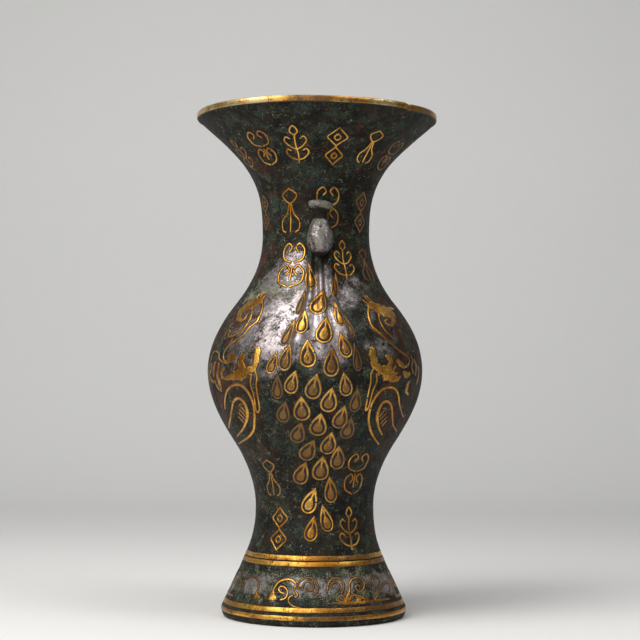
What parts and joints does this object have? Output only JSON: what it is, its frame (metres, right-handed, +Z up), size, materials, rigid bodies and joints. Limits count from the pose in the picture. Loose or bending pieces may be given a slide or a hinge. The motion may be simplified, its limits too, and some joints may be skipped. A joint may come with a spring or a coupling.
{
  "type": "hu vase",
  "caption": "Cast bronze hu vase with a flared mouth, round belly and spreading hollow foot, peacocks in relief on the shoulder and gold inlay on lip, belly and foot.",
  "frame": {"origin": "centre of the circle that the foot stands on", "axes": "+Z up along the vase's axis, -Y the front, where the peacock that the picture shows is, +X to that view's right"},
  "size_m": [0.1546, 0.1546, 0.3216],
  "materials": {
    "bronze": "dark patinated bronze, satin",
    "relief_bronze": "dark patinated bronze, satin",
    "gold": "worn gold, satin"
  },
  "bodies": {
    "root": {"cast_shell": "bronze", "floor_disc": "bronze", "front_peacock_head": "relief_bronze", "front_peacock_train": "relief_bronze", "back_peacock_head": "relief_bronze", "back_peacock_train": "relief_bronze", "front_right_plume": "gold", "front_right_beast": "gold", "front_right_outer_coil": "gold", "front_right_inner_coil": "gold", "back_right_plume": "gold", "back_right_beast": "gold", "back_right_outer_coil": "gold", "back_right_inner_coil": "gold", "back_left_plume": "gold", "back_left_beast": "gold", "back_left_outer_coil": "gold", "back_left_inner_coil": "gold", "front_left_plume": "gold", "front_left_beast": "gold", "front_left_outer_coil": "gold", "front_left_inner_coil": "gold", "foot_band_1": "gold", "foot_band_2": "gold", "foot_band_3": "gold", "foot_band_4": "gold", "lip_binding": "gold", "foot_frieze": "gold", "front_eye_1": "gold", "front_eye_2": "gold", "front_eye_3": "gold", "front_eye_4": "gold", "front_eye_5": "gold", "front_eye_6": "gold", "front_eye_7": "gold", "front_eye_8": "gold", "front_eye_9": "gold", "front_eye_10": "gold", "front_eye_11": "gold", "front_eye_12": "gold", "back_eye_1": "gold", "back_eye_2": "gold", "back_eye_3": "gold", "back_eye_4": "gold", "back_eye_5": "gold", "back_eye_6": "gold", "back_eye_7": "gold", "back_eye_8": "gold", "back_eye_9": "gold", "back_eye_10": "gold", "back_eye_11": "gold", "back_eye_12": "gold"}
  },
  "joints": []
}
